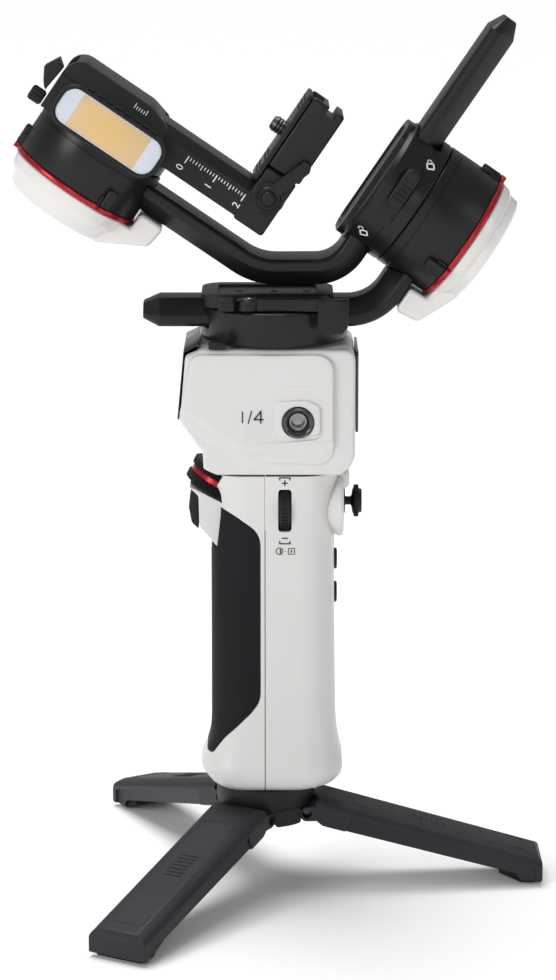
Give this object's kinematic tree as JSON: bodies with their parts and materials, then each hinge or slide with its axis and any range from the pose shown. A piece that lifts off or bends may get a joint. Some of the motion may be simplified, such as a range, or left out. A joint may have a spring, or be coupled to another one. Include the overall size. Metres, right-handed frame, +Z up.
{
  "type": "gimbal stabilizer",
  "caption": "Handheld camera gimbal on a mini tripod: grip handle, three motor axes with sliding arms, quick release plate, folding legs.",
  "frame": {"origin": "middle of the outline's box, on the surface that the tripod's feet stand on", "axes": "+Z up along the handle; +X the user's side, with the display and joystick; -X the grip and trigger side; -Y the side with the thumb wheel and accessory port"},
  "size_m": [0.1996, 0.1966, 0.3311],
  "materials": {
    "white_body": "satin white moulding",
    "white_cap": "pearl white, glossy",
    "black_metal": "satin black anodised alloy",
    "black_plastic": "fine matt black",
    "gloss_black": "gloss black",
    "grip_rubber": "fine grained soft black",
    "leg_grey": "dark grey, fine grain",
    "red_metal": "red anodised",
    "steel": "turned",
    "winding": "lacquered copper winding",
    "display": "smoked window",
    "diffuser": "warm light diffuser",
    "cell": "shrink wrapped cells",
    "board": "circuit board"
  },
  "bodies": {
    "handle": {"handle_front_shell": "white_body", "handle_rear_shell": "white_body", "grip_pad": "grip_rubber", "head_housing": "white_body", "side_panel_near": "white_body", "side_panel_far": "white_body", "front_trim": "gloss_black", "display_panel": "display", "port_bush": "black_metal", "battery_pack": "cell", "main_board": "board", "pan_stator": "winding", "tripod_hub": "black_plastic", "leg_pin_right": "steel", "leg_pin_far": "steel", "leg_pin_near": "steel"},
    "control_dial": {"control_dial": "black_plastic"},
    "thumb_wheel": {"thumb_wheel": "black_plastic"},
    "trigger": {"trigger": "black_plastic"},
    "joystick_ring": {"joystick_ring": "black_plastic"},
    "joystick": {"joystick": "black_plastic"},
    "record_button": {"record_button": "black_plastic"},
    "mode_button": {"mode_button": "black_plastic"},
    "power_button": {"power_button": "black_plastic"},
    "pan_lock": {"pan_lock": "black_plastic"},
    "leg_right": {"leg_right": "leg_grey", "foot_right": "grip_rubber"},
    "leg_far": {"leg_far": "leg_grey", "foot_far": "grip_rubber"},
    "leg_near": {"leg_near": "leg_grey", "foot_near": "grip_rubber"},
    "pan_base": {"pan_rotor": "black_metal", "pan_clamp": "black_metal"},
    "pan_lever": {"pan_lever": "black_metal"},
    "pan_arm": {"pan_arm": "black_metal", "roll_case": "black_metal", "roll_ring": "red_metal", "roll_cap": "white_cap", "roll_stator": "winding"},
    "roll_base": {"roll_clamp": "black_metal", "roll_shaft": "steel"},
    "roll_lever": {"roll_lever": "black_metal"},
    "roll_lock": {"roll_lock": "black_plastic"},
    "roll_arm": {"roll_arm": "black_metal", "tilt_case": "black_metal", "tilt_ring": "red_metal", "tilt_cap": "white_cap", "tilt_stator": "winding"},
    "tilt_base": {"tilt_clamp": "black_metal", "light_bezel": "black_plastic", "light_panel": "diffuser", "tilt_shaft": "steel"},
    "tilt_lever": {"tilt_lever": "black_metal"},
    "tilt_lock": {"tilt_lock": "black_plastic"},
    "camera_rail": {"camera_arm": "black_metal", "platform": "black_metal"},
    "plate_lever": {"plate_lever": "black_metal"},
    "quick_plate": {"quick_plate": "black_metal", "camera_screw": "steel"}
  },
  "joints": [
    {"name": "pan_spin", "type": "hinge", "parent": "handle", "child": "pan_base", "pos_m": [-0.00329, 0, 0.22255], "axis": [0, 0, 1], "continuous": true},
    {"name": "pan_arm_slide", "type": "slide", "parent": "pan_base", "child": "pan_arm", "axis": [1, 0, 0], "range_m": [-0.005, 0.02]},
    {"name": "roll_spin", "type": "hinge", "parent": "pan_arm", "child": "roll_base", "pos_m": [0.04831, 0, 0.2621], "axis": [0.8271, 0, -0.5621], "range_deg": [-120, 120]},
    {"name": "roll_arm_slide", "type": "slide", "parent": "roll_base", "child": "roll_arm", "axis": [0.5621, 0, 0.8271], "range_m": [-0.0025, 0.002]},
    {"name": "tilt_spin", "type": "hinge", "parent": "roll_arm", "child": "tilt_base", "pos_m": [-0.0406, 0, 0.32252], "axis": [0.5621, 0, 0.8271], "range_deg": [-155, 155]},
    {"name": "camera_rail_slide", "type": "slide", "parent": "tilt_base", "child": "camera_rail", "axis": [0.8271, 0, -0.5621], "range_m": [-0.028, 0.015]},
    {"name": "quick_plate_slide", "type": "slide", "parent": "camera_rail", "child": "quick_plate", "axis": [0.5621, 0, 0.8271], "range_m": [0, 0.008]},
    {"name": "pan_lever_swing", "type": "hinge", "parent": "pan_base", "child": "pan_lever", "pos_m": [-0.01289, -0.0216, 0.2274], "axis": [0, 0, 1], "range_deg": [-75, 0]},
    {"name": "roll_lever_swing", "type": "hinge", "parent": "roll_base", "child": "roll_lever", "pos_m": [0.03932, 0.0285, 0.24887], "axis": [0.8271, 0, -0.5621], "range_deg": [-70, 0]},
    {"name": "tilt_lever_swing", "type": "hinge", "parent": "tilt_base", "child": "tilt_lever", "pos_m": [-0.08479, -0.0196, 0.30661], "axis": [0, 1, 0], "range_deg": [-45, 0]},
    {"name": "plate_lever_swing", "type": "hinge", "parent": "camera_rail", "child": "plate_lever", "pos_m": [-0.00538, -0.0143, 0.26582], "axis": [0, 1, 0], "range_deg": [0, 80]},
    {"name": "pan_lock_slide", "type": "slide", "parent": "handle", "child": "pan_lock", "axis": [1, 0, 0], "range_m": [-0.004, 0]},
    {"name": "roll_lock_slide", "type": "slide", "parent": "roll_base", "child": "roll_lock", "axis": [0.5621, 0, 0.8271], "range_m": [-0.009, 0]},
    {"name": "tilt_lock_slide", "type": "slide", "parent": "tilt_base", "child": "tilt_lock", "axis": [0.8271, 0, -0.5621], "range_m": [-0.003, 0]},
    {"name": "dial_turn", "type": "hinge", "parent": "handle", "child": "control_dial", "pos_m": [-0.02209, 0, 0.1566], "axis": [0.454, 0, 0.891], "continuous": true},
    {"name": "thumb_wheel_turn", "type": "hinge", "parent": "handle", "child": "thumb_wheel", "pos_m": [0.00061, -0.0136, 0.1498], "axis": [1, 0, 0], "continuous": true},
    {"name": "trigger_pull", "type": "hinge", "parent": "handle", "child": "trigger", "pos_m": [-0.03209, 0, 0.152], "axis": [0, 1, 0], "range_deg": [-8, 0], "stiffness_Nm_per_rad": 0.05, "springref_deg": 5.73},
    {"name": "joystick_pitch", "type": "hinge", "parent": "handle", "child": "joystick_ring", "pos_m": [0.02071, 0, 0.149], "axis": [0, 1, 0], "range_deg": [-15, 15], "stiffness_Nm_per_rad": 0.03},
    {"name": "joystick_yaw", "type": "hinge", "parent": "joystick_ring", "child": "joystick", "pos_m": [0.02071, 0, 0.149], "axis": [0, 0, 1], "range_deg": [-15, 15], "stiffness_Nm_per_rad": 0.03},
    {"name": "record_press", "type": "slide", "parent": "handle", "child": "record_button", "axis": [-1, 0, 0], "range_m": [0, 0.001], "stiffness_N_per_m": 250, "springref_m": -0.002},
    {"name": "mode_press", "type": "slide", "parent": "handle", "child": "mode_button", "axis": [-1, 0, 0], "range_m": [0, 0.001], "stiffness_N_per_m": 250, "springref_m": -0.002},
    {"name": "power_press", "type": "slide", "parent": "handle", "child": "power_button", "axis": [0, -1, 0], "range_m": [0, 0.001], "stiffness_N_per_m": 250, "springref_m": -0.002},
    {"name": "leg_right_fold", "type": "hinge", "parent": "handle", "child": "leg_right", "pos_m": [0.00921, 0, 0.0283], "axis": [0, 1, 0], "range_deg": [0, 75]},
    {"name": "leg_far_fold", "type": "hinge", "parent": "handle", "child": "leg_far", "pos_m": [-0.01479, 0.01386, 0.0283], "axis": [-0.866, -0.5, 0], "range_deg": [0, 75]},
    {"name": "leg_near_fold", "type": "hinge", "parent": "handle", "child": "leg_near", "pos_m": [-0.01479, -0.01386, 0.0283], "axis": [0.866, -0.5, 0], "range_deg": [0, 75]}
  ]
}
